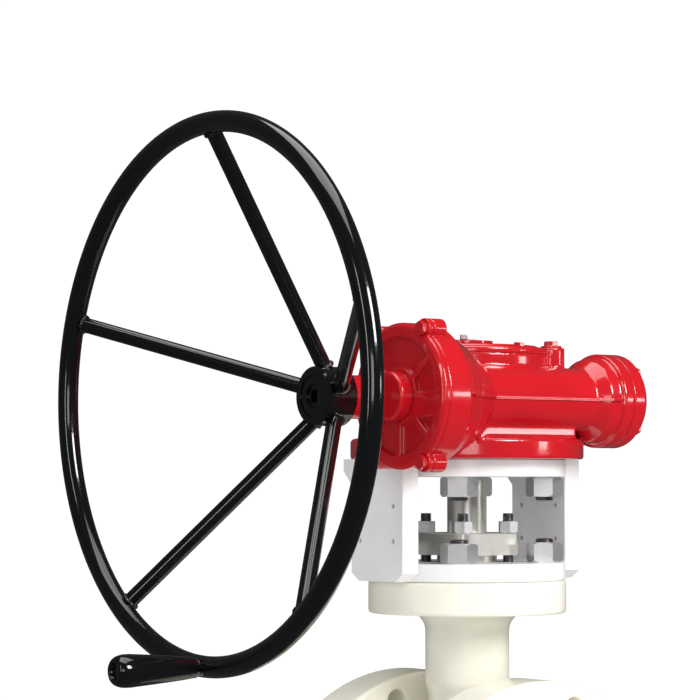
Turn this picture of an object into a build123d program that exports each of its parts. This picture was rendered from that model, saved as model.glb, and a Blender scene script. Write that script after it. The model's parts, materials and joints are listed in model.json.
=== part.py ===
from build123d import *
import math
import os

# Gear-operated plug valve. Millimetres. +Z runs up the stem, the flow bore lies along Y,
# the handwheel faces -X. The origin is the centre of the flow bore.

# ---- driving dimensions -------------------------------------------------------------------
BORE_R = 50.0
FACE_TO_FACE = 250.0
FLANGE_R = 190.5
FLANGE_INNER = 65.0
RAISED_FACE_R = 135.0
RAISED_FACE_STEP = 2.0
PIPE_BOLT_PCR = 165.1
PIPE_BOLT_COUNT = 12
PIPE_BOLT_HOLE_R = 12.7
BARREL_R = 100.0
BARREL_BOTTOM = -196.0
COVER_R = 119.0
COVER_BOLT_PCR = 107.0
COVER_BOLTS = 10
BLIND_BOLT_DEPTH = 36.0
PLUG_Z = (-112.0, 95.0)
NECK_R = 44.5
WAIST_R = 41.0
TOP_FLANGE_R = 105.0
TOP_FLANGE_Z = (256.0, 291.0)
STEM_R = 21.0
RUNNING = 0.05
CLEAR = 0.3

MOUNT_PCR = 82.5
BRACKET_Z = (291.0, 418.0)
BRACKET_DISC = 18.5
BRACKET_PLATE_X = (100.0, 121.0)
BRACKET_HALF_DEPTH = 44.0
M20_ACROSS = 34.0
M20_HEIGHT = 21.0
STUD_M20_R = 10.0

GLAND_HALF = 43.5
GLAND_Z = (317.0, 340.5)
GLAND_STUD_AT = 31.0
GLAND_STUD_R = 6.0
GLAND_NUT_ACROSS = 18.5
GLAND_NUT_HEIGHT = 12.0
PACKING_R = 32.0
PACKING_Z = (238.0, 276.0)

GEAR_Z = 480.0
WORM_Y = -85.0
WORM_MODULE = 3.0
WORM_PITCH_R = 16.0
WHEEL_TEETH = 46
WHEEL_WIDTH = 24.0
WORM_SIDE_PLAY = 0.8
PRESSURE = math.radians(20)

SPUR_MODULE = 2.0
PINION_TEETH = 14
SPUR_TEETH = 34
SPUR_PLAY = 0.3
SPUR_X = (-149.0, -133.0)
INPUT_Y = WORM_Y + SPUR_MODULE * (PINION_TEETH + SPUR_TEETH) / 2
SPUR_COVER_X = (-159.0, -151.0)
SPUR_CASE_R = 74.0
TUBE_R = 34.0
LUG_PCR = SPUR_CASE_R + 3
LUG_ANGLES = (55, 120, 240, 305)

BASE_R = 124.0
BASE_TOP = 440.0
DRUM_R = 92.0
COVER_Z = (528.0, 538.0)

HUB_X = (-230.0, -194.0)
HUB_R = 30.0
RIM_X = -356.0
RIM_R = 265.0
RIM_TUBE_R = 10.7
SPOKE_R = 8.0
GRIP_X = (-462.0, -368.5)

UPRIGHT = (Align.CENTER, Align.CENTER, Align.MIN)


# ---- shape helpers ------------------------------------------------------------------------
def rod_z(radius, low, high, x=0.0, y=0.0):
    """Plain cylinder along Z."""
    return Pos(x, y, low) * Cylinder(radius, high - low, align=UPRIGHT)


def rod_x(radius, left, right, y=0.0, z=0.0):
    """Plain cylinder along X."""
    return Pos(left, y, z) * Rot(0, 90, 0) * Cylinder(radius, right - left, align=UPRIGHT)


def rod_y(radius, near, far, x=0.0, z=0.0):
    """Plain cylinder along Y."""
    return Pos(x, near, z) * Rot(-90, 0, 0) * Cylinder(radius, far - near, align=UPRIGHT)


def block(x_span, y_span, z_span):
    """Box from three (low, high) pairs."""
    spans = (x_span, y_span, z_span)
    middle = [(low + high) / 2 for low, high in spans]
    size = [high - low for low, high in spans]
    return Pos(*middle) * Box(*size)


def turned(points, x=0.0, y=0.0, z=0.0, spin=Rot(0, 0, 0)):
    """Revolve a (radius, height) outline about Z, then turn and place it."""
    outline = make_face(Polyline([(radius, 0, height) for radius, height in points], close=True))
    return Pos(x, y, z) * spin * revolve(outline, Axis.Z)


TO_X = Rot(0, 90, 0)
TO_Y = Rot(-90, 0, 0)
TO_MINUS_X = Rot(0, -90, 0)
TO_MINUS_Y = Rot(90, 0, 0)
FLAT_TO_STEM = Rot(0, 0, 15)


def disc(radius, height, bevel, hole=0.0):
    """Disc on the XY plane with both outer edges bevelled and an optional hole."""
    points = [(hole, 0), (radius - bevel, 0), (radius, bevel), (radius, height - bevel)]
    points += [(radius - bevel, height), (hole, height)]
    return turned(points)


def around(count, radius, start=0.0):
    """Places on a circle as (x, y) pairs."""
    step = 360 / count
    angles = [math.radians(start + step * index) for index in range(count)]
    return [(radius * math.cos(angle), radius * math.sin(angle)) for angle in angles]


def hexagon(across, height, bevel=None):
    """Hexagonal prism whose corners are bevelled at both ends like a nut's."""
    corner = across / math.sqrt(3)
    prism = extrude(RegularPolygon(across / 2, 6, major_radius=False), amount=height)
    return prism & disc(corner, height, bevel or across * 0.07)


def nut(across, height, hole):
    return hexagon(across, height) - rod_z(hole, -1, height + 1)


def bolt(across, head, shank_r, shank):
    """Hexagon-head bolt: the head stands on z=0 and the shank hangs below it."""
    tip = disc(shank_r, shank, shank_r * 0.15)
    return hexagon(across, head) + Pos(0, 0, -shank) * tip


def bar(radius, start, end):
    """Round bar between two points."""
    run = Vector(*end) - Vector(*start)
    return Solid.make_cylinder(radius, run.length, Plane(origin=start, z_dir=run))


def save(node, *shapes):
    solids = [solid for shape in shapes for solid in shape.solids()]
    part = solids[0] if len(solids) == 1 else Compound(solids)
    export_step(part, f"parts/{node}.step")


# ---- gear teeth ---------------------------------------------------------------------------
def involute(angle):
    return math.tan(angle) - angle


def tooth_flank(module, teeth, play, root, tip):
    """(radius, half angle) pairs up one flank, thinned by the play at the pitch circle."""
    pitch = module * teeth / 2
    base = pitch * math.cos(PRESSURE)
    half = (math.pi * module / 2 - play) / (2 * pitch)
    start = max(base, root)
    flank = [(root, half + involute(PRESSURE))] if root < base else []
    for step in range(5):
        radius = start + (tip - start) * step / 4
        lean = involute(math.acos(min(1.0, base / radius)))
        flank.append((radius, half + involute(PRESSURE) - lean))
    return flank


def tooth_points(centre, flank):
    """One tooth's outline as points, anticlockwise."""
    rising = [(radius, centre - half) for radius, half in flank]
    falling = [(radius, centre + half) for radius, half in reversed(flank)]
    return [(r * math.cos(a), r * math.sin(a)) for r, a in rising + falling]


def spur_face(module, teeth, play, phase):
    pitch = module * teeth / 2
    flank = tooth_flank(module, teeth, play, pitch - 1.25 * module, pitch + module)
    points = []
    for index in range(teeth):
        points += tooth_points(phase + 2 * math.pi * index / teeth, flank)
    return make_face(Polyline(points, close=True))


# ---- valve body ---------------------------------------------------------------------------
def valve_body():
    half = FACE_TO_FACE / 2
    flange = [(0, FLANGE_INNER), (FLANGE_R - 2, FLANGE_INNER), (FLANGE_R, FLANGE_INNER + 2)]
    flange += [(FLANGE_R, half - RAISED_FACE_STEP - 2), (FLANGE_R - 2, half - RAISED_FACE_STEP)]
    flange += [(RAISED_FACE_R, half - RAISED_FACE_STEP), (RAISED_FACE_R, half), (0, half)]
    barrel = [(0, BARREL_BOTTOM), (COVER_R, BARREL_BOTTOM), (COVER_R, BARREL_BOTTOM + 17)]
    barrel += [(BARREL_R, BARREL_BOTTOM + 24), (BARREL_R, 92), (96, 106), (82, 121), (60, 133)]
    barrel += [(46, 143), (WAIST_R, 149), (WAIST_R, 160), (0, 160)]
    flare = 19.0
    low, high = TOP_FLANGE_Z
    neck = [(0, 150), (WAIST_R, 150), (WAIST_R, 170), (NECK_R, 181), (NECK_R, low - flare)]
    for step in range(1, 9):
        turn = math.radians(90 * step / 8)
        neck.append((NECK_R + flare * (1 - math.cos(turn)), low - flare * (1 - math.sin(turn))))
    neck += [(TOP_FLANGE_R - 1.5, low), (TOP_FLANGE_R, low + 1.5), (TOP_FLANGE_R, high - 1.5)]
    neck += [(TOP_FLANGE_R - 1.5, high), (0, high)]
    body = turned(barrel) + turned(neck)
    body += turned(flange, spin=TO_Y) + turned(flange, spin=TO_MINUS_Y)
    body -= rod_y(BORE_R, -half - 1, half + 1)
    cavity_low, cavity_high = BARREL_BOTTOM - 1, PLUG_Z[1] + 3
    body -= turned([(0, cavity_low), (plug_radius(cavity_low) + CLEAR, cavity_low),
                    (plug_radius(cavity_high) + CLEAR, cavity_high), (0, cavity_high)])
    body -= rod_z(28, 97, PACKING_Z[0]) + rod_z(PACKING_R, PACKING_Z[0], high + 1)
    for x, z in around(PIPE_BOLT_COUNT, PIPE_BOLT_PCR, 15):
        blind = z < -PIPE_BOLT_PCR * 0.9
        bottom = half - BLIND_BOLT_DEPTH if blind else FLANGE_INNER - 1
        body -= rod_y(PIPE_BOLT_HOLE_R, bottom, half, x, z)
        body -= rod_y(PIPE_BOLT_HOLE_R, -half, -bottom, x, z)
    for x, y in around(4, MOUNT_PCR, 45):
        body -= rod_z(STUD_M20_R, low + 5, high + 1, x, y)
    for x, y in gland_places():
        body -= rod_z(GLAND_STUD_R, low + 10, high + 1, x, y)
    for x, y in cover_bolt_places():
        body -= rod_z(6, BARREL_BOTTOM - 1, BARREL_BOTTOM + 18.5, x, y)
    return body


def plug_radius(z):
    """The plug tapers gently and is wider at the bottom."""
    return 80.0 - 0.045 * z


def cover_bolt_places():
    return around(COVER_BOLTS, COVER_BOLT_PCR, 180 / COVER_BOLTS)


def gland_places():
    at = GLAND_STUD_AT
    return [(at, at), (-at, at), (-at, -at), (at, -at)]


def bottom_cover():
    under = BARREL_BOTTOM - 22
    cover = Pos(0, 0, under) * disc(COVER_R, 20, 2)
    cover += rod_z(60, under - 6, under + 1)
    cover += rod_z(84, under + 19, under + 34) + rod_z(24, under, under + 50)
    for x, y in cover_bolt_places():
        cover -= rod_z(6.6, under - 8, BARREL_BOTTOM, x, y)
    return cover - rod_z(10, under - 8, under + 51)


def cover_gasket():
    low, high = BARREL_BOTTOM - 2, BARREL_BOTTOM
    gasket = rod_z(COVER_R - 1, low, high) - rod_z(90, low - 1, high + 1)
    for x, y in cover_bolt_places():
        gasket -= rod_z(6.6, low - 1, high + 1, x, y)
    return gasket


def bottom_cover_bolts():
    under = BARREL_BOTTOM - 22
    return [Pos(x, y, under) * Rot(180, 0, 0) * bolt(18, 8, 6, 38) for x, y in cover_bolt_places()]


def plug():
    low, high = PLUG_Z
    body = turned([(0, low), (plug_radius(low), low), (plug_radius(high), high), (0, high)])
    body -= rod_y(BORE_R, -130, 130)
    return body - block((-13.1, 13.1), (-45, 45), (high - 14, high + 1))


def stem():
    """Tang, collar, shank and the keyed upper end."""
    tang = block((-13, 13), (-26, 26), (81.2, 96))
    shank = turned([(0, 95.3), (27, 95.3), (27, 104), (STEM_R, 104), (STEM_R, 424),
                    (20, 426), (20, 526), (18.5, 528), (0, 528)])
    flat = block((-6, 6), (14, 25), (440, 500))
    return shank + (tang & rod_z(27, 81, 96)) - flat - rod_z(4, 508, 530)


def packing_rings():
    low, high = PACKING_Z
    height = (high - low) / 5
    return [rod_z(PACKING_R, low + height * index, low + height * (index + 1) - 0.2)
            - rod_z(STEM_R + RUNNING, low - 1, high + 1) for index in range(5)]


def gland_flange():
    low, high = GLAND_Z
    square = extrude(RectangleRounded(2 * GLAND_HALF, 2 * GLAND_HALF, 12), amount=high - low)
    plate = Pos(0, 0, low) * square - rod_z(22, low - 1, high + 1)
    plate = chamfer(plate.edges().group_by(Axis.Z)[-1], 1.2)
    for x, y in gland_places():
        plate -= rod_z(6.6, low - 1, high + 1, x, y)
    return plate


def bracket_disc(low, high, hole, bevel=1.0):
    """Round plate with flats where the side plates are welded on."""
    plate = Pos(0, 0, low) * disc(TOP_FLANGE_R, high - low, bevel)
    width = (-BRACKET_PLATE_X[0], BRACKET_PLATE_X[0])
    plate &= block(width, (-120, 120), (low, high))
    plate -= rod_z(hole, low - 1, high + 1)
    for x, y in around(4, MOUNT_PCR, 45):
        plate -= rod_z(10.5, low - 1, high + 1, x, y)
    return plate


def bracket_bottom_disc():
    low = BRACKET_Z[0]
    plate = bracket_disc(low, low + BRACKET_DISC, 34)
    for x, y in gland_places():
        plate -= rod_z(6.6, low - 1, low + BRACKET_DISC + 1, x, y)
    return plate


def bracket_plate(side):
    """Side plate: lower corners cut off, upper rear corner flared, small tapped holes."""
    low, high = BRACKET_Z
    deep = BRACKET_HALF_DEPTH
    outline = [(-deep, low + 9), (-deep + 14, low), (deep - 14, low), (deep, low + 9),
               (deep, high - 26), (deep + 14, high - 12), (deep + 14, high), (-deep, high)]
    face = make_face(Polyline([(BRACKET_PLATE_X[0], y, z) for y, z in outline], close=True))
    plate = extrude(face, amount=BRACKET_PLATE_X[1] - BRACKET_PLATE_X[0], dir=(1, 0, 0))
    plate = chamfer(plate.edges().filter_by(Axis.Z), 0.8)
    for y, z in ((-28, 369), (-28, 333), (28, 369), (28, 333)):
        plate -= rod_x(2.5, 90, 130, y, z)
    return plate if side > 0 else mirror(plate, Plane.YZ)


# ---- gearbox ------------------------------------------------------------------------------
def at_angles(radius, angles):
    """(y, z) places around the worm axis, measured from +Y towards +Z."""
    turns = [math.radians(angle) for angle in angles]
    return [(WORM_Y + radius * math.cos(turn), GEAR_Z + radius * math.sin(turn)) for turn in turns]


def case_lugs():
    return at_angles(LUG_PCR, LUG_ANGLES)


def end_bolt_places():
    return at_angles(40, (45, 135, 225, 315))


def gearbox_housing():
    case_back = -117.0
    shell = turned([(0, 418), (BASE_R - 1.5, 418), (BASE_R, 419.5), (BASE_R, BASE_TOP - 3),
                    (BASE_R - 3, BASE_TOP), (DRUM_R + 4, BASE_TOP), (DRUM_R, BASE_TOP + 4),
                    (DRUM_R, COVER_Z[0]), (0, COVER_Z[0])])
    shell += turned([(0, SPUR_COVER_X[1]), (SPUR_CASE_R, SPUR_COVER_X[1]), (SPUR_CASE_R, -124),
                     (SPUR_CASE_R - 5, case_back), (58, -95), (46, -76), (TUBE_R, -60), (TUBE_R, 80), (44, 92), (46, 104), (50, 106),
                     (50, 119), (0, 119)], y=WORM_Y, z=GEAR_Z, spin=TO_X)
    ridge = (GEAR_Z - 1.5, GEAR_Z + 1.5)
    shell += block((case_back, 100), (WORM_Y - TUBE_R - 3, WORM_Y), ridge)
    shell += block((-70, 62), (WORM_Y - 20, -40), (BASE_TOP - 4, GEAR_Z - 20))
    for y, z in case_lugs():
        shell += rod_x(10, SPUR_COVER_X[1], -134, y, z)
    for x in (-52, 52):
        shell += rod_y(15, 60, 99, x, GEAR_Z)
    shell += rod_z(14, 500, 536, 62, -66)
    shell -= rod_z(77, 452, 508) + rod_z(80, 508, 530)
    shell -= rod_z(43, 417, 530)
    shell += rod_z(46, 418, 452) - rod_z(43, 417, 453)
    shell -= rod_x(26, -108, 120, WORM_Y, GEAR_Z) + rod_x(16, -129, -107, WORM_Y, GEAR_Z)
    shell -= rod_x(64, SPUR_COVER_X[1] - 1, -128, WORM_Y, GEAR_Z)
    shell -= rod_x(12, -129, -112, INPUT_Y, GEAR_Z)
    shell -= rod_x(30, 110, 120, WORM_Y, GEAR_Z)
    for x in (-52, 52):
        shell -= rod_y(8, 10, 100, x, GEAR_Z)
    for x, y in around(4, MOUNT_PCR, 45):
        shell -= rod_z(STUD_M20_R, 417, 447, x, y)
    for y, z in case_lugs():
        shell -= rod_x(4, SPUR_COVER_X[1] - 1, -136, y, z)
    for y, z in end_bolt_places():
        shell -= rod_x(4, 98, 120, y, z)
    for x, y in around(6, 86, 30):
        shell -= rod_z(3, 512, COVER_Z[0] + 1, x, y)
    return shell


def quadrant_cover():
    low, high = COVER_Z
    cover = turned([(0, low), (DRUM_R, low), (DRUM_R, low + 5), (DRUM_R - 2, low + 7),
                    (78, low + 7), (75, high), (43, high), (43, high + 2), (0, high + 2)])
    cover += rod_z(50, 506, low)
    cover -= rod_z(43, 500, low + 4) + rod_z(31, low, high + 3)
    for x, y in around(6, 86, 30):
        cover -= rod_z(3.3, low - 1, high, x, y)
    return cover - rod_z(14.4, low - 1, high + 3, 62, -66)


def quadrant_cover_bolts():
    top = COVER_Z[0] + 7
    return [Pos(x, y, top) * bolt(10, 4.2, 3, 18) for x, y in around(6, 86, 30)
            if (x - 62) ** 2 + (y + 66) ** 2 > 400]


def worm_wheel():
    """Toothed quadrant on a keyed hub; the teeth lean to match the left-hand worm."""
    pitch = WORM_MODULE * WHEEL_TEETH / 2
    root, tip = pitch - 1.2 * WORM_MODULE, pitch + WORM_MODULE
    step = 2 * math.pi / WHEEL_TEETH
    first = -math.pi / 2 - 1.5 * step
    flank = tooth_flank(WORM_MODULE, WHEEL_TEETH, WORM_SIDE_PLAY, root, tip)
    ends = (math.radians(-109.5), math.radians(19.5))
    points = [(25 * math.cos(ends[0]), 25 * math.sin(ends[0]))]
    points.append((root * math.cos(ends[0]), root * math.sin(ends[0])))
    for index in range(16):
        points += tooth_points(first + step * index, flank)
    points.append((root * math.cos(ends[1]), root * math.sin(ends[1])))
    points.append((25 * math.cos(ends[1]), 25 * math.sin(ends[1])))
    lead_slope = WORM_MODULE / (2 * WORM_PITCH_R)
    twist = -math.degrees(lead_slope * WHEEL_WIDTH / pitch)
    face = Rot(0, 0, -twist / 2) * make_face(Polyline(points, close=True))
    low = GEAR_Z - WHEEL_WIDTH / 2
    teeth = Solid.extrude_linear_with_rotation(face.faces()[0], (0, 0, 0), (0, 0, WHEEL_WIDTH), twist)
    wheel = rod_z(37, 430, 527) + Pos(0, 0, low) * teeth
    wheel -= rod_z(20, 420, 530)
    return wheel - block((-6, 6), (15, 23.5), (429, 528))


def worm_shaft():
    """Left-hand single-start worm with its journals, turned to lie along X."""
    root = WORM_PITCH_R - 1.2 * WORM_MODULE
    lead = math.pi * WORM_MODULE
    turns = 10
    start = -lead * (turns / 2 + 0.75)
    spiral = Pos(0, 0, start) * Helix(lead, lead * turns, root, lefthand=True)
    half = (lead / 2 - WORM_SIDE_PLAY) / 2
    slope = math.tan(PRESSURE)
    depth = 2.2 * WORM_MODULE
    foot = half + slope * 1.2 * WORM_MODULE
    crest = half - slope * WORM_MODULE
    inset = 0.6
    corners = [(-inset, -foot - slope * inset), (depth, -crest), (depth, crest),
               (-inset, foot + slope * inset)]
    section = Plane(origin=spiral @ 0, x_dir=(1, 0, 0), z_dir=spiral % 0)
    profile = section * make_face(Polyline(corners, close=True))
    thread = sweep(profile, path=spiral, is_frenet=True)
    journals = turned([(0, -163), (11, -163), (11, -128), (12.5, -126), (12.5, -88), (17, -86),
                       (17, -60), (root, -58), (root, 58), (17, 60), (17, 92), (12.5, 94),
                       (12.5, 116), (0, 116)])
    return Pos(0, WORM_Y, GEAR_Z) * TO_X * (journals + thread)


def spur_gear():
    face = spur_face(SPUR_MODULE, SPUR_TEETH, SPUR_PLAY, math.pi / 2)
    left, right = SPUR_X
    gear = extrude(face, amount=right - left) - rod_z(11, -1, 30)
    gear -= disc(24, 4, 0.5, 15) + Pos(0, 0, right - left - 4) * disc(24, 4.01, 0.5, 15)
    gear -= block((9, 13.5), (-3, 3), (-1, 30))
    return Pos(left, WORM_Y, GEAR_Z) * TO_X * gear


def input_pinion_shaft():
    face = spur_face(SPUR_MODULE, PINION_TEETH, SPUR_PLAY, math.pi / 2 + math.pi / PINION_TEETH)
    left, right = SPUR_X
    teeth = Pos(left, 0, 0) * TO_X * extrude(face, amount=right - left)
    shaft = teeth + rod_x(12, -227, left) + rod_x(9, right, -114)
    shaft -= block((-228, -218), (-6.5, 6.5), (-6.5, 6.5))
    shaft -= block((-216, -198), (-3, 3), (8.5, 13))
    return Pos(0, INPUT_Y, GEAR_Z) * shaft


def spur_cover():
    """Dished cover: a rim, a centre boss, radial ribs and the offset input boss."""
    front, back = SPUR_COVER_X
    cover = turned([(0, front), (SPUR_CASE_R - 4, front), (SPUR_CASE_R, front + 3),
                    (SPUR_CASE_R, back), (0, back)], spin=TO_X)
    floor = front + 5
    dish = rod_x(60, front - 1, floor) - rod_x(29, front - 2, floor + 1)
    for angle in (38, 142, 180, 222, 270, 318):
        dish -= Rot(angle, 0, 0) * block((front - 2, floor + 1), (0, 70), (-3.5, 3.5))
    shelf = Rot(180, 0, 0) * block((front - 2, floor + 1), (0, 70), (0, 22))
    dish -= shelf + rod_x(26, front - 2, floor + 1, INPUT_Y - WORM_Y, 0)
    cover -= dish
    cover += turned([(0, -193), (20.5, -193), (22, -191), (22.5, front), (0, front)],
                    y=INPUT_Y - WORM_Y, spin=TO_X)
    cover -= rod_x(16, front - 1, back + 1)
    cover -= rod_x(12.4, -194, back + 1, INPUT_Y - WORM_Y)
    cover -= rod_x(16, -194, -186, INPUT_Y - WORM_Y) + rod_x(15, -185, -153, INPUT_Y - WORM_Y)
    cover = Pos(0, WORM_Y, GEAR_Z) * cover
    for y, z in case_lugs():
        cover += rod_x(10, front + 2, back, y, z)
        cover -= rod_x(4.4, front, back + 1, y, z) + rod_x(8, front - 1, front + 2, y, z)
    return cover


def worm_boss_cap():
    front = SPUR_COVER_X[0]
    cap = turned([(17, front), (25.2, front), (24.8, front - 13), (23, front - 15), (0, front - 15),
                  (0, front - 10), (17, front - 10)], spin=TO_X)
    return Pos(0, WORM_Y, GEAR_Z) * cap


def spur_cover_bolts():
    return [Pos(SPUR_COVER_X[0] + 2, y, z) * TO_MINUS_X * bolt(13, 5.5, 4, 20)
            for y, z in case_lugs()]


def worm_end_cap():
    cap = turned([(0, 119.0), (50, 119), (50, 134), (46, 139), (30, 140), (0, 140)], spin=TO_X)
    cap = Pos(0, WORM_Y, GEAR_Z) * (cap - rod_x(28, 118, 128))
    for y, z in end_bolt_places():
        cap -= rod_x(4.4, 118, 141, y, z) + rod_x(8.5, 136, 141, y, z)
    return cap


def worm_end_bolts():
    return [Pos(136, y, z) * TO_X * bolt(13, 5.5, 4, 34) for y, z in end_bolt_places()]


def worm_bearings():
    """Each bearing is an inner race, an outer race and a ring of balls."""
    pieces = []
    for left in (-107.0, 94.5):
        for inner, outer in ((12.5, 16.5), (22, 26)):
            pieces.append(rod_x(outer, left, left + 15) - rod_x(inner, left - 1, left + 16))
        for y, z in around(9, 19.25):
            pieces.append(Pos(left + 7.5, y, z) * Sphere(2.7))
    return [Pos(0, WORM_Y, GEAR_Z) * piece for piece in pieces]


def stop_bolts():
    """Adjusting screws whose tips meet the quadrant's end faces."""
    return [rod_y(7.95, 28, 124, x, GEAR_Z) + Pos(x, 28, GEAR_Z) * Sphere(7.95)
            + Pos(x, 124, GEAR_Z) * TO_Y * hexagon(13, 9) for x in (-52, 52)]


def stop_bolt_locknuts():
    return [Pos(x, 99.2, GEAR_Z) * TO_Y * nut(24, 9, 7.95) for x in (-52, 52)]


# ---- handwheel ----------------------------------------------------------------------------
def handwheel_rim():
    return Pos(RIM_X, INPUT_Y, GEAR_Z) * TO_X * Torus(RIM_R, RIM_TUBE_R)


def handwheel_hub():
    left, right = HUB_X
    hub = turned([(0, left), (HUB_R - 2, left), (HUB_R, left + 2), (HUB_R, right - 2),
                  (HUB_R - 2, right), (0, right)], spin=TO_X)
    hub -= rod_x(12, left - 1, right + 1) + rod_x(21, left - 1, left + 4)
    hub -= block((left - 1, right + 1), (-3, 3), (10, 14.8))
    return Pos(0, INPUT_Y, GEAR_Z) * hub


def handwheel_spokes(rim, hub):
    """Straight tubes cut to fit the rim and the hub."""
    inside_hub = rod_x(HUB_R - 1, -260, -190, INPUT_Y, GEAR_Z)
    spokes = []
    for index in range(5):
        angle = math.radians(90 + 72 * index)
        across, up = math.cos(angle), math.sin(angle)
        start = (-211, INPUT_Y + 22 * across, GEAR_Z + 22 * up)
        end = (RIM_X + 1, INPUT_Y + RIM_R * across, GEAR_Z + RIM_R * up)
        spokes.append(Part() + bar(SPOKE_R, start, end) - rim - hub - inside_hub)
    return [max(spoke.solids(), key=lambda solid: solid.volume) for spoke in spokes]


def handle_spindle(rim):
    z = GEAR_Z - RIM_R
    left = GRIP_X[0]
    spindle = rod_x(6, left + 7, RIM_X, INPUT_Y, z) + rod_x(9, GRIP_X[1] + 0.5, RIM_X, INPUT_Y, z)
    spindle += rod_x(9, left + 4, left + 7, INPUT_Y, z)
    return spindle - rim


def handle_grip():
    left, right = GRIP_X
    length = right - left
    outline = [(6 + RUNNING, length), (9.5, length), (10.2, length - 1.5), (12.4, 56), (15, 28), (16, 16)]
    for step in range(1, 6):
        turn = math.radians(90 * step / 6)
        outline.append((16 - 7 * (1 - math.cos(turn)), 10 - 10 * math.sin(turn)))
    outline += [(9.5, 0), (9.5, 7.3), (6 + RUNNING, 7.3)]
    return turned(outline, left, INPUT_Y, GEAR_Z - RIM_R, TO_X)


# ---- write every node ---------------------------------------------------------------------
def save_valve():
    save("valve_body", valve_body())
    save("bottom_cover", bottom_cover())
    save("bottom_cover_gasket", cover_gasket())
    save("bottom_cover_bolts", *bottom_cover_bolts())
    under, tip = BARREL_BOTTOM - 28, PLUG_Z[0] - 0.4
    thrust = [(0, under - 16), (8, under - 16), (10, under - 14), (10, tip - 6), (7, tip), (0, tip)]
    save("plug_thrust_screw", turned(thrust))
    save("thrust_screw_locknut", Pos(0, 0, under - 10) * nut(26, 10, 10))
    save("neck_bush", rod_z(28, 150, 238) - rod_z(STEM_R + RUNNING, 149, 239))
    save("stem_thrust_washer", rod_z(27.5, 104.3, 107) - rod_z(STEM_R + RUNNING, 104, 108))
    save("packing_rings", *packing_rings())
    follower = rod_z(PACKING_R - 0.2, PACKING_Z[1], GLAND_Z[0]) - rod_z(21.3, 270, 330)
    save("gland_follower", follower)
    save("gland_flange", gland_flange())
    top = GLAND_Z[1]
    save("gland_studs", *[Pos(x, y, 266) * disc(GLAND_STUD_R, 95, 1) for x, y in gland_places()])
    save("gland_nuts", *[Pos(x, y, top) * nut(GLAND_NUT_ACROSS, GLAND_NUT_HEIGHT, GLAND_STUD_R)
                         for x, y in gland_places()])


def save_bracket():
    low, high = BRACKET_Z
    places = around(4, MOUNT_PCR, 45)
    floor, ceiling = low + BRACKET_DISC, high - BRACKET_DISC
    save("bracket_bottom_disc", bracket_bottom_disc())
    save("bracket_top_disc", bracket_disc(ceiling, high, 34))
    save("bracket_right_plate", bracket_plate(1))
    save("bracket_left_plate", bracket_plate(-1))
    save("lower_bracket_studs", *[Pos(x, y, 262) * disc(STUD_M20_R, floor + 25 - 262, 1.5)
                                  for x, y in places])
    bracket_nut = FLAT_TO_STEM * nut(M20_ACROSS, M20_HEIGHT, STUD_M20_R)
    save("lower_bracket_nuts", *[Pos(x, y, floor) * bracket_nut for x, y in places])
    save("upper_bracket_studs", *[Pos(x, y, ceiling - 25) * disc(STUD_M20_R, 471 - ceiling, 1.5)
                                  for x, y in places])
    save("upper_bracket_nuts", *[Pos(x, y, ceiling - M20_HEIGHT) * bracket_nut for x, y in places])


def save_gearbox():
    save("gearbox_housing", gearbox_housing())
    save("quadrant_cover", quadrant_cover())
    save("quadrant_cover_bolts", *quadrant_cover_bolts())
    save("quadrant_bushes", *[rod_z(43, low, high) - rod_z(37 + RUNNING, low - 1, high + 1)
                              for low, high in ((420, 452), (507, 527))])
    save("worm_bearings", *worm_bearings())
    save("worm_end_cap", worm_end_cap())
    save("worm_end_bolts", *worm_end_bolts())
    save("spur_cover", spur_cover())
    save("spur_cover_bolts", *spur_cover_bolts())
    save("worm_boss_cap", worm_boss_cap())
    front = rod_x(15, -184, -166, INPUT_Y, GEAR_Z) - rod_x(12 + RUNNING, -190, -160, INPUT_Y, GEAR_Z)
    rear = rod_x(12, -127.5, -113, INPUT_Y, GEAR_Z) - rod_x(9 + RUNNING, -130, -110, INPUT_Y, GEAR_Z)
    save("input_bushes", front, rear)
    seal = rod_x(16, -192.5, -186, INPUT_Y, GEAR_Z) - rod_x(12 + RUNNING, -194, -180, INPUT_Y, GEAR_Z)
    save("input_lip_seal", seal)
    save("stop_bolts", *stop_bolts())
    save("stop_bolt_locknuts", *stop_bolt_locknuts())
    save("grease_plug", Pos(62, -66, 536) * (hexagon(14, 7) + disc(11, 2, 0.4)))


def save_moving():
    save("plug", plug())
    save("stem", stem())
    save("stem_key", block((-6, 6), (14, 23.5), (440, 500)))
    save("worm_wheel", worm_wheel())
    arrow_points = [(-6, -9), (6, -9), (6, 13), (10, 13), (0, 26), (-10, 13), (-6, 13)]
    arrow = make_face(Polyline(arrow_points, close=True))
    pointer = rod_z(28, 541, 544) + Pos(0, 0, 544) * extrude(arrow, amount=2) + rod_z(18.5, 528, 541)
    save("position_pointer", pointer - rod_z(4, 520, 550))
    save("pointer_screw", Pos(0, 0, 546) * bolt(13, 5, 4, 36))
    save("worm_shaft", worm_shaft())
    save("spur_gear", spur_gear())
    save("spur_gear_key", Pos(SPUR_X[0] + 1, WORM_Y, GEAR_Z) * TO_X * block((11, 13.5), (-3, 3), (0, 14)))
    save("input_pinion_shaft", input_pinion_shaft())
    save("handwheel_key", block((-215.8, -198.2), (INPUT_Y - 3, INPUT_Y + 3), (GEAR_Z + 8.5, GEAR_Z + 14.6)))
    rim, hub = handwheel_rim(), handwheel_hub()
    save("handwheel_rim", rim)
    save("handwheel_hub", hub)
    save("handwheel_spokes", *handwheel_spokes(rim, hub))
    washer = rod_x(20.5, HUB_X[0] + 1, HUB_X[0] + 3.8, INPUT_Y, GEAR_Z)
    save("hub_retaining_ring", washer - rod_x(12.1, -232, -224, INPUT_Y, GEAR_Z))
    save("handle_spindle", handle_spindle(rim))
    save("handle_grip", handle_grip())


save_valve()
save_bracket()
save_gearbox()
save_moving()
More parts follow.
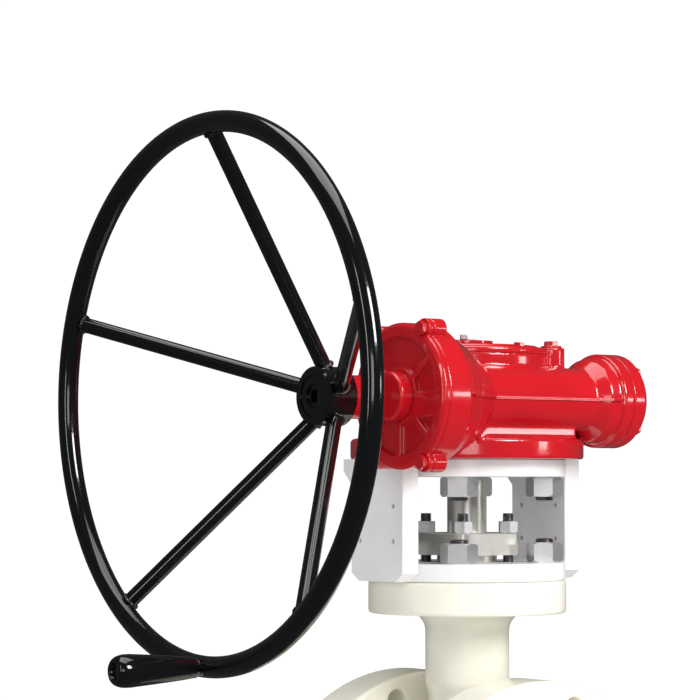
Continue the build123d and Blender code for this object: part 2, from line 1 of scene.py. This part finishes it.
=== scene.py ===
import json
import math

import bpy
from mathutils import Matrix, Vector, noise


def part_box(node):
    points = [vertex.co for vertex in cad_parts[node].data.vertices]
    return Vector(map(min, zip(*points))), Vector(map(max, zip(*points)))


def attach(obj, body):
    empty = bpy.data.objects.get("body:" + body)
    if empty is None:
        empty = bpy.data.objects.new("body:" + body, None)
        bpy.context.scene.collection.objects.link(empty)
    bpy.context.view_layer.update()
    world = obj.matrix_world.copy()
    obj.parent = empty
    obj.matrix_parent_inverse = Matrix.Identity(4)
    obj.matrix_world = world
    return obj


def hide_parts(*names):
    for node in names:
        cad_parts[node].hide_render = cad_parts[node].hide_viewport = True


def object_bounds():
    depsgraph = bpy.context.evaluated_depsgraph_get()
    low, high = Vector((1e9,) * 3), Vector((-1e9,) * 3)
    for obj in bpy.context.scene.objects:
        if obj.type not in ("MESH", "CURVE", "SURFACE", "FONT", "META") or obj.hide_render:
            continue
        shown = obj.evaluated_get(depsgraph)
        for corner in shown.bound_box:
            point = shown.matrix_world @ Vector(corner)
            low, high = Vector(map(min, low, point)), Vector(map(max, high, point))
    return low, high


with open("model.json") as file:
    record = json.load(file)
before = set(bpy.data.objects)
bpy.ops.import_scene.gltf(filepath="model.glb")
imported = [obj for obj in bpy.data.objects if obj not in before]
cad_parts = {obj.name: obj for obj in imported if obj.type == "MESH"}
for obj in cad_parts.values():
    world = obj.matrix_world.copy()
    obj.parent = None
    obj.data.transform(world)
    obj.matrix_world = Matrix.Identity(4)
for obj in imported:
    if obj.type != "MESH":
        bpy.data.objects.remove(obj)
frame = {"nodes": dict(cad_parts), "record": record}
cad_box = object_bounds()
nodes = frame["nodes"]
TAU = 2 * math.pi

# The handwheel's and the worm's centre lines, as in the CAD.
SPOKES = 5
SPOKE_INNER_X = -0.211
SPOKE_INNER_R = 0.022
HUB_R = 0.030
WORM_AXIS = Vector((0, -0.085, 0.480))

# ---- materials ----------------------------------------------------------------------------
# Lengths in metres. Every finish is worked out from the object's own coordinates.


class Finish:
    """A Principled material and the few node patterns that the finishes share."""

    def __init__(self, name, rough, metal=0.0, coat=0.0, coat_rough=0.05, ior=1.5):
        self.material = bpy.data.materials.new(name)
        self.material.use_nodes = True
        self.tree = self.material.node_tree
        self.shader = self.tree.nodes["Principled BSDF"]
        self.shader.inputs["Roughness"].default_value = rough
        self.shader.inputs["Metallic"].default_value = metal
        self.shader.inputs["Coat Weight"].default_value = coat
        self.shader.inputs["Coat Roughness"].default_value = coat_rough
        self.shader.inputs["IOR"].default_value = ior
        self.place = self.add("ShaderNodeTexCoord").outputs["Object"]
        self.height = None

    def add(self, kind, **settings):
        node = self.tree.nodes.new(kind)
        for key, value in settings.items():
            setattr(node, key, value)
        return node

    def link(self, source, target):
        self.tree.links.new(source, target)

    def noise(self, size, detail=3.0, stretch=(1, 1, 1), rough=0.55):
        """Soft noise whose features are about `size` metres across."""
        mapping = self.add("ShaderNodeMapping")
        mapping.inputs["Scale"].default_value = stretch
        self.link(self.place, mapping.inputs["Vector"])
        texture = self.add("ShaderNodeTexNoise")
        texture.inputs["Scale"].default_value = 1 / size
        texture.inputs["Detail"].default_value = detail
        texture.inputs["Roughness"].default_value = rough
        self.link(mapping.outputs["Vector"], texture.inputs["Vector"])
        return texture.outputs["Fac"]

    def cells(self, size):
        texture = self.add("ShaderNodeTexVoronoi")
        texture.inputs["Scale"].default_value = 1 / size
        self.link(self.place, texture.inputs["Vector"])
        return texture.outputs["Distance"]

    def ramp(self, value, *stops):
        """Map a value to colours given as (position, (r, g, b)) stops."""
        node = self.add("ShaderNodeValToRGB")
        line = node.color_ramp
        while len(line.elements) < len(stops):
            line.elements.new(0.5)
        for element, (position, colour) in zip(line.elements, stops):
            element.position = position
            element.color = (*colour, 1)
        self.link(value, node.inputs["Fac"])
        return node.outputs["Color"]

    def level(self, value, low, high):
        """Stretch a 0..1 value to low..high."""
        node = self.add("ShaderNodeMapRange")
        node.inputs["To Min"].default_value = low
        node.inputs["To Max"].default_value = high
        self.link(value, node.inputs["Value"])
        return node.outputs["Result"]

    def combine(self, operation, a, b):
        node = self.add("ShaderNodeMath", operation=operation)
        for socket, value in zip(node.inputs, (a, b)):
            if isinstance(value, (int, float)):
                socket.default_value = value
            else:
                self.link(value, socket)
        return node.outputs["Value"]

    def mix(self, mask, first, second):
        node = self.add("ShaderNodeMix", data_type="RGBA")
        self.link(mask, node.inputs[0])
        for socket, value in ((node.inputs[6], first), (node.inputs[7], second)):
            if isinstance(value, tuple):
                socket.default_value = (*value, 1)
            else:
                self.link(value, socket)
        return node.outputs[2]

    def edges(self, radius):
        """Mask that is 1 on sharp edges: where a rounded normal leaves the true one."""
        rounded = self.add("ShaderNodeBevel", samples=4)
        rounded.inputs["Radius"].default_value = radius
        flat = self.add("ShaderNodeNewGeometry")
        dot = self.add("ShaderNodeVectorMath", operation="DOT_PRODUCT")
        self.link(rounded.outputs["Normal"], dot.inputs[0])
        self.link(flat.outputs["Normal"], dot.inputs[1])
        lift = self.combine("SUBTRACT", 1.0, dot.outputs["Value"])
        return self.combine("MULTIPLY", lift, 6.0)

    def bump(self, value, depth, strength=1.0):
        """Add a bump layer whose full height is `depth` metres."""
        node = self.add("ShaderNodeBump")
        node.inputs["Distance"].default_value = depth
        node.inputs["Strength"].default_value = strength
        self.link(value, node.inputs["Height"])
        if self.height is not None:
            self.link(self.height, node.inputs["Normal"])
        self.height = node.outputs["Normal"]

    def done(self, colour, rough=None):
        self.link(colour, self.shader.inputs["Base Color"])
        if rough is not None:
            self.link(rough, self.shader.inputs["Roughness"])
        if self.height is not None:
            self.link(self.height, self.shader.inputs["Normal"])
        return self.material


def tint(colour, factor):
    return tuple(min(1.0, channel * factor) for channel in colour)


def paint(name, colour, rough, coat, peel, grain, wear):
    """Sprayed enamel: drifting tone, orange peel, casting grain under it, thin edges."""
    finish = Finish(name, rough, coat=coat, coat_rough=0.04)
    drift = finish.noise(0.09, 4)
    tone = finish.ramp(drift, (0.3, tint(colour, 0.92)), (0.7, tint(colour, 1.06)))
    chips = finish.combine("MULTIPLY", finish.edges(0.0009), finish.noise(0.004, 5))
    speck = finish.combine("GREATER_THAN", chips, wear)
    tone = finish.mix(speck, tone, tint(colour, 0.55))
    finish.bump(finish.noise(0.0026, 2), peel)
    if grain:
        finish.bump(finish.noise(0.0011, 4), grain)
    return finish.done(tone, finish.level(finish.noise(0.03, 3), rough * 0.85, rough * 1.2))


def steel(name, colour, rough, stretch, depth, metal=1.0):
    """Machined or plated metal with fine tool marks, slightly uneven plating and a painted highlight
    on sharp edges.
    """
    finish = Finish(name, rough, metal=metal)
    clouds = finish.noise(0.012, 5)
    tone = finish.ramp(clouds, (0.3, tint(colour, 0.94)), (0.7, tint(colour, 1.03)))
    # Painted highlight: sharp edges are mixed toward a lighter tint (1.12), standing in for the light
    # that edges catch.
    painted_edge_highlight = finish.combine("MINIMUM", finish.edges(0.0006), 0.6)
    tone = finish.mix(painted_edge_highlight, tone, tint(colour, 1.12))
    marks = finish.noise(0.0009, 2, stretch)
    finish.bump(marks, depth)
    return finish.done(tone, finish.level(marks, rough * 0.88, rough * 1.15))


def soft(name, colour, rough, size, depth):
    """Rubber and pressed graphite: dull, mottled and finely pitted."""
    finish = Finish(name, rough)
    mottle = finish.noise(size * 6, 4)
    tone = finish.ramp(mottle, (0.3, tint(colour, 0.75)), (0.7, tint(colour, 1.3)))
    finish.bump(finish.cells(size), depth)
    return finish.done(tone, finish.level(finish.noise(size * 3), rough * 0.9, rough * 1.08))


RINGS = (0.05, 0.05, 1)
FINISHES = {
    "cream_paint": paint("cream_enamel", (0.88, 0.86, 0.75), 0.30, 0.35, 0.00010, 0.00005, 0.75),
    "white_paint": paint("white_enamel", (0.86, 0.86, 0.86), 0.34, 0.25, 0.00008, 0.0, 0.75),
    "red_paint": paint("red_gloss_enamel", (0.50, 0.006, 0.012), 0.18, 0.8, 0.00006, 0.00003, 0.8),
    "black_paint": paint("black_gloss_enamel", (0.0025, 0.003, 0.0035), 0.12, 0.6, 0.00004, 0.0, 0.9),
    "bright_steel": steel("zinc_plate", (0.78, 0.79, 0.80), 0.30, (1, 1, 0.2), 0.000003, 0.8),
    "dark_steel": steel("oiled_steel", (0.16, 0.16, 0.17), 0.33, RINGS, 0.00004),
    "stainless": steel("machined_stainless", (0.72, 0.70, 0.65), 0.30, RINGS, 0.000008, 0.8),
    "bronze": steel("cast_bronze", (0.62, 0.40, 0.17), 0.34, (1, 1, 1), 0.00005),
    "graphite": soft("pressed_graphite", (0.03, 0.03, 0.033), 0.55, 0.0012, 0.00006),
    "rubber_black": soft("seal_rubber", (0.012, 0.012, 0.012), 0.62, 0.0008, 0.00004),
}


def slot_of(node):
    for entry in frame["record"]["subparts"]:
        if entry["node"] == node:
            return entry["material_slot"]
    return "red_paint"


def body_of(node):
    for body, names in frame["record"]["behaviour"]["bodies"].items():
        if node in names:
            return body
    return "valve"


for node, thing in nodes.items():
    thing.data.materials.clear()
    thing.data.materials.append(FINISHES[slot_of(node)])


# ---- mesh helpers -------------------------------------------------------------------------
def piece(name, vertices, faces, like, replaced=(), smooth=True):
    """Make a mesh piece that rides with, and is finished like, one CAD node."""
    mesh = bpy.data.meshes.new(name)
    mesh.from_pydata(vertices, [], faces)
    mesh.validate()
    thing = bpy.data.objects.new(name, mesh)
    bpy.context.scene.collection.objects.link(thing)
    if smooth:
        mesh.shade_smooth()
    mesh.materials.append(FINISHES[slot_of(like)])
    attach(thing, body_of(like))
    if replaced:
        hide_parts(*replaced)
    return thing


class Build:
    """Collects the vertices and faces of several closed forms for one piece."""

    def __init__(self):
        self.vertices = []
        self.faces = []

    def tube(self, rings, closed=False, capped=True):
        """Skin a list of rings, each the same number of points."""
        base = len(self.vertices)
        count = len(rings[0])
        for ring in rings:
            self.vertices.extend(ring)
        spans = len(rings) if closed else len(rings) - 1
        for row in range(spans):
            here = base + row * count
            there = base + ((row + 1) % len(rings)) * count
            for column in range(count):
                after = (column + 1) % count
                self.faces.append((here + column, here + after, there + after, there + column))
        if capped and not closed:
            self.faces.append(tuple(base + index for index in reversed(range(count))))
            last = base + (len(rings) - 1) * count
            self.faces.append(tuple(last + index for index in range(count)))


def frame_of(direction):
    """Two unit vectors square to a direction and to each other."""
    direction = direction.normalized()
    helper = Vector((0, 0, 1)) if abs(direction.z) < 0.9 else Vector((0, 1, 0))
    side = direction.cross(helper).normalized()
    return side, direction.cross(side).normalized()


def ring(centre, side, up, radius, count):
    step = TAU / count
    return [centre + (side * math.cos(step * i) + up * math.sin(step * i)) * radius
            for i in range(count)]


def turned(build, start, direction, outline, count=96):
    """Skin a (distance along, radius) outline round an axis."""
    direction = direction.normalized()
    side, up = frame_of(direction)
    build.tube([ring(start + direction * along, side, up, radius, count)
                for along, radius in outline])


def centre_of(node):
    low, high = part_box(node)
    return (low + high) / 2, high - low


# ---- handwheel ----------------------------------------------------------------------------
rim_centre, rim_size = centre_of("handwheel_rim")
hub_centre = centre_of("handwheel_hub")[0]
RIM_TUBE = rim_size.x / 2
RIM_R = rim_size.z / 2 - RIM_TUBE
SPOKE_TUBE = 0.008


def rim_point(angle):
    """Centre of the rim tube at an angle from straight up, and the outward direction."""
    outward = Vector((0, math.sin(angle), math.cos(angle)))
    return rim_centre + outward * RIM_R, outward


def make_rim():
    """Smooth round tube in place of the CAD torus, a hair inside it."""
    build = Build()
    steps = 288
    rings = []
    for index in range(steps):
        centre, outward = rim_point(TAU * index / steps)
        rings.append(ring(centre, outward, Vector((1, 0, 0)), RIM_TUBE * 0.9995, 40))
    build.tube(rings, closed=True)
    piece("rim_tube", build.vertices, build.faces, "handwheel_rim", ["handwheel_rim"])


def spoke_ends(index):
    """Where a spoke starts inside the hub and ends inside the rim tube."""
    outer, outward = rim_point(TAU * index / SPOKES)
    inner = Vector((SPOKE_INNER_X, hub_centre.y, hub_centre.z)) + outward * SPOKE_INNER_R
    return inner, outer + Vector((0.001, 0, 0))


def bead(build, centre, direction, inner, width, seed, count=120, bead_rows=12):
    """Ring-shaped weld bead with scalloped ripples round a bar."""
    side, up = frame_of(direction)
    direction = direction.normalized()
    rings = []
    for i in range(count):
        turn = TAU * i / count
        outward = side * math.cos(turn) + up * math.sin(turn)
        wander = noise.noise(outward * 3 + Vector((seed, 0, 0)))
        ripple = 1 + 0.10 * math.sin(turn * 22 + seed) + 0.06 * wander
        core = centre + outward * inner
        rings.append(ring(core, outward, direction, width * ripple, bead_rows))
    build.tube(rings, closed=True)


def make_spokes():
    """Straight tubes with a weld bead at each end."""
    spokes, welds = Build(), Build()
    for index in range(SPOKES):
        inner, outer = spoke_ends(index)
        run = outer - inner
        side, up = frame_of(run)
        spokes.tube([ring(inner + run * t, side, up, SPOKE_TUBE, 40)
                     for t in (0, 0.03, 0.5, 0.96, 1)])
        foot = run.normalized() * (RIM_TUBE * 0.98)
        bead(welds, outer - foot, run, SPOKE_TUBE * 1.02, 0.0021, index)
        reach = (HUB_R - SPOKE_INNER_R) / run.normalized().yz.length
        bead(welds, inner + run.normalized() * reach, run, SPOKE_TUBE * 1.05, 0.0021, index + 9)
    piece("spoke_tubes", spokes.vertices, spokes.faces, "handwheel_spokes", ["handwheel_spokes"])
    piece("wheel_weld_beads", welds.vertices, welds.faces, "handwheel_spokes")


def make_grip():
    """Turned grip: open collar at the rim end, long taper, domed free end."""
    low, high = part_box("handle_grip")
    centre = (low + high) / 2
    length = high.x - low.x
    end_radius = (high.z - low.z) / 2
    build = Build()
    bore, neck, collar = 0.0061, 0.0104, 0.006
    taper_end, dome, dome_drop = 0.018, 0.0135, 0.0062
    outline = [(length - 0.012, bore), (length - 0.001, bore), (length, 0.0072),
               (length, 0.0092), (length - 0.0015, 0.0101), (length - collar, neck)]
    for step in range(1, 15):
        t = step / 14
        along = (length - collar) * (1 - t) + taper_end * t
        outline.append((along, neck + (end_radius - neck) * (t ** 0.85)))
    for step in range(1, 13):
        turn = math.radians(90 * step / 13)
        along = dome * (1 - math.sin(turn)) + 0.0002
        outline.append((along, end_radius - dome_drop * (1 - math.cos(turn))))
    outline += [(0.0001, 0.0090), (0.0008, 0.0084), (0.0072, 0.0083), (0.0072, bore)]
    turned(build, Vector((low.x, centre.y, centre.z)), Vector((1, 0, 0)), outline)
    piece("handle_grip_turned", build.vertices, build.faces, "handle_grip", ["handle_grip"])


make_rim()
make_spokes()
make_grip()


# ---- castings -----------------------------------------------------------------------------
def cast(node, voxel, rounds, name):
    """Copy a CAD casting, rebuild its skin evenly and relax it, so edges get cast fillets."""
    source = nodes[node]
    thing = bpy.data.objects.new(name, source.data.copy())
    bpy.context.scene.collection.objects.link(thing)
    remesh = thing.modifiers.new("skin", "REMESH")
    remesh.mode = "VOXEL"
    remesh.voxel_size = voxel
    relax = thing.modifiers.new("relax", "SMOOTH")
    relax.factor = 0.5
    relax.iterations = rounds
    graph = bpy.context.evaluated_depsgraph_get()
    mesh = bpy.data.meshes.new_from_object(thing.evaluated_get(graph))
    thing.modifiers.clear()
    thing.data = mesh
    mesh.shade_smooth()
    mesh.materials.clear()
    mesh.materials.append(FINISHES[slot_of(node)])
    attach(thing, body_of(node))
    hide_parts(node)
    return thing


cast("gearbox_housing", 0.0012, 5, "gearbox_casting")
cast("spur_cover", 0.0008, 5, "spur_cover_casting")
cast("worm_boss_cap", 0.0007, 4, "boss_cap_casting")
cast("worm_end_cap", 0.0008, 4, "end_cap_casting")
cast("quadrant_cover", 0.0010, 4, "quadrant_cover_casting")
cast("valve_body", 0.0020, 4, "valve_casting")


def make_parting_ridge():
    """Flash line where the two halves of the housing's mould met, along the worm tube."""
    skin = [(-0.117, 0.069), (-0.095, 0.058), (-0.076, 0.046), (-0.060, 0.034), (0.080, 0.034),
            (0.092, 0.044), (0.103, 0.046)]
    proud, thick, bite = 0.0026, 0.0013, 0.004
    build = Build()
    rings = []
    for x, radius in skin:
        front = -(radius + proud)
        corners = [(-(radius - bite), -thick), (front + 0.0003, -thick), (front, -thick * 0.8),
                   (front, thick * 0.8), (front + 0.0003, thick), (-(radius - bite), thick)]
        rings.append([WORM_AXIS + Vector((x, y, z)) for y, z in corners])
    build.tube(rings)
    piece("parting_ridge", build.vertices, build.faces, "gearbox_housing", smooth=False)


make_parting_ridge()


# ---- threads ------------------------------------------------------------------------------
def stud_guesses(points, apart):
    """One (x, y) near each stud: the first point that is far from all the earlier ones."""
    guesses = []
    for point in points:
        if all((point - guess).length >= apart for guess in guesses):
            guesses.append(point)
    return guesses


def threaded_studs(node, radius, pitch, name):
    """Every stud of a node as a real thread with chamfered ends."""
    source = nodes[node]
    low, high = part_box(node)
    build = Build()
    count, rows = 36, 6
    points = [vertex.co.xy.copy() for vertex in source.data.vertices]
    for guess in stud_guesses(points, radius * 2.2):
        near = [v.co for v in source.data.vertices if (v.co.xy - guess).length < radius * 2.5]
        x = (min(v.x for v in near) + max(v.x for v in near)) / 2
        y = (min(v.y for v in near) + max(v.y for v in near)) / 2
        total = int((high.z - low.z) / pitch * rows)
        rings = []
        for row in range(total + 1):
            z = low.z + (high.z - low.z) * row / total
            from_end = min(z - low.z, high.z - z)
            limit = min(radius, radius * 0.80 + from_end)
            points = []
            for column in range(count):
                turn = TAU * column / count
                phase = (z / pitch - column / count) % 1.0
                depth = 0.55 * pitch * abs(2 * phase - 1)
                reach = min(limit, radius * 0.998 - depth)
                points.append(Vector((x + reach * math.cos(turn), y + reach * math.sin(turn), z)))
            rings.append(points)
        build.tube(rings)
    piece(name, build.vertices, build.faces, node, [node])


threaded_studs("gland_studs", 0.006, 0.00175, "gland_stud_threads")
threaded_studs("lower_bracket_studs", 0.010, 0.0025, "lower_stud_threads")
threaded_studs("upper_bracket_studs", 0.010, 0.0025, "upper_stud_threads")


# ---- bracket welds ------------------------------------------------------------------------
def straight_bead(build, start, end, width, seed):
    """Run of weld metal with ripples along a straight joint."""
    run = end - start
    side, up = frame_of(run)
    steps = max(8, int(run.length / 0.0012))
    rings = []
    for step in range(steps + 1):
        t = step / steps
        fade = min(1.0, 6 * min(t, 1 - t) + 0.35)
        wander = noise.noise(Vector((step * 0.21, seed, 0)))
        ripple = 1 + 0.12 * math.sin(step * 1.9 + seed) + 0.08 * wander
        rings.append(ring(start + run * t, side, up, width * fade * ripple, 10))
    build.tube(rings)


def make_bracket_welds():
    """Beads in the inner corners between the bracket's discs and its side plates."""
    build = Build()
    half_run, width = 0.039, 0.0028
    corner_heights = (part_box("bracket_bottom_disc")[1].z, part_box("bracket_top_disc")[0].z)
    for inner_x in (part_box("bracket_left_plate")[1].x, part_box("bracket_right_plate")[0].x):
        for z in corner_heights:
            start, end = Vector((inner_x, -half_run, z)), Vector((inner_x, half_run, z))
            straight_bead(build, start, end, width, z * 100)
    piece("bracket_weld_beads", build.vertices, build.faces, "bracket_bottom_disc")


make_bracket_welds()


# ---- softened machined edges --------------------------------------------------------------
BEVELLED = {
    "bracket_bottom_disc": 0.0008, "bracket_top_disc": 0.0008, "bracket_left_plate": 0.0007,
    "bracket_right_plate": 0.0007, "gland_flange": 0.0008, "handwheel_hub": 0.0008,
    "bottom_cover": 0.0010, "position_pointer": 0.0004, "grease_plug": 0.0003,
}
for node, width in BEVELLED.items():
    bevel = nodes[node].modifiers.new("edge", "BEVEL")
    bevel.width = width
    bevel.segments = 2
    bevel.limit_method = "ANGLE"
    bevel.angle_limit = math.radians(35)
    bevel.harden_normals = False


# ---- floor, light and camera --------------------------------------------------------------
FLOOR_SOLID = 0.5
FLOOR_RADIUS = 2.4


def fading_paper():
    """Matt white paper that fades to nothing away from the object, so no edge shows."""
    finish = Finish("floor_paper", 0.9)
    drift = finish.noise(0.8, 2)
    paper = finish.done(finish.ramp(drift, (0.3, (0.90, 0.90, 0.90)), (0.7, (0.93, 0.93, 0.93))))
    distance = finish.add("ShaderNodeVectorMath", operation="LENGTH")
    finish.link(finish.place, distance.inputs[0])
    fade = finish.add("ShaderNodeMapRange", interpolation_type="SMOOTHSTEP")
    fade.inputs["From Min"].default_value = FLOOR_SOLID
    fade.inputs["From Max"].default_value = FLOOR_RADIUS
    finish.link(distance.outputs["Value"], fade.inputs["Value"])
    clear = finish.add("ShaderNodeBsdfTransparent")
    blend = finish.add("ShaderNodeMixShader")
    finish.link(fade.outputs["Result"], blend.inputs[0])
    finish.link(finish.shader.outputs["BSDF"], blend.inputs[1])
    finish.link(clear.outputs["BSDF"], blend.inputs[2])
    finish.link(blend.outputs["Shader"], finish.tree.nodes["Material Output"].inputs["Surface"])
    return paper


def make_floor():
    """Round floor just below the object."""
    edge = ring(Vector((0, 0, 0)), Vector((1, 0, 0)), Vector((0, 1, 0)), FLOOR_RADIUS, 64)
    mesh = bpy.data.meshes.new("floor")
    mesh.from_pydata(edge, [], [tuple(range(64))])
    mesh.materials.append(fading_paper())
    thing = bpy.data.objects.new("floor", mesh)
    thing.location.z = cad_box[0].z - 0.0005
    bpy.context.scene.collection.objects.link(thing)
    thing.visible_glossy = False


CAMERA_AT = Vector((-1.760, -2.145, 0.391))
VIEW_AZIMUTH = math.radians(36.8)
VIEW_RISE = math.radians(2.97)
VIEW_AHEAD = Vector((math.sin(VIEW_AZIMUTH), math.cos(VIEW_AZIMUTH), 0))


def make_camera():
    """Long lens, looking slightly up past the handwheel."""
    camera = bpy.data.cameras.new("camera")
    camera.lens = 133.7
    camera.sensor_width = 36
    camera.clip_end = 30
    thing = bpy.data.objects.new("camera", camera)
    thing.location = CAMERA_AT
    look = VIEW_AHEAD * math.cos(VIEW_RISE) + Vector((0, 0, math.sin(VIEW_RISE)))
    thing.rotation_euler = look.to_track_quat("-Z", "Y").to_euler()
    bpy.context.scene.collection.objects.link(thing)
    bpy.context.scene.camera = thing


def area_light(name, at, target, size, power):
    light = bpy.data.lights.new(name, "AREA")
    light.shape = "RECTANGLE"
    light.size, light.size_y = size
    light.energy = power
    thing = bpy.data.objects.new(name, light)
    thing.location = at
    thing.rotation_euler = (Vector(target) - Vector(at)).to_track_quat("-Z", "Y").to_euler()
    bpy.context.scene.collection.objects.link(thing)


def make_world(diffuse, glossy):
    """White to the camera, softer to the paint, darker still to its reflections."""
    world = bpy.data.worlds.new("studio")
    bpy.context.scene.world = world
    world.use_nodes = True
    tree = world.node_tree
    background = tree.nodes["Background"]
    background.inputs["Color"].default_value = (1, 1, 1, 1)
    rays = tree.nodes.new("ShaderNodeLightPath")
    level = None
    for output, strength in (("Is Glossy Ray", glossy), ("Is Camera Ray", 1.05)):
        mix = tree.nodes.new("ShaderNodeMix")
        tree.links.new(rays.outputs[output], mix.inputs[0])
        mix.inputs[2].default_value = diffuse
        if level is not None:
            tree.links.new(level, mix.inputs[2])
        mix.inputs[3].default_value = strength
        level = mix.outputs[0]
    tree.links.new(level, background.inputs["Strength"])


def make_light():
    """Key from the right front, soft fill, and narrow lights for crisp reflections."""
    make_world(diffuse=0.52, glossy=0.06)
    target = (-0.1, -0.05, 0.42)
    area_light("key", (0.25, -2.9, 1.9), target, (1.1, 1.1), 80)
    area_light("front", (-2.3, -3.0, 0.75), target, (1.3, 0.9), 12)
    area_light("window", (1.93, -2.36, 0.60), target, (0.5, 0.26), 4)
    area_light("top", (-0.3, -0.2, 2.6), target, (2.0, 2.0), 34)
    area_light("strip", (-2.8, -0.9, 1.1), target, (0.25, 1.8), 9)


make_floor()
make_camera()
make_light()
bpy.context.scene.view_settings.view_transform = "Standard"
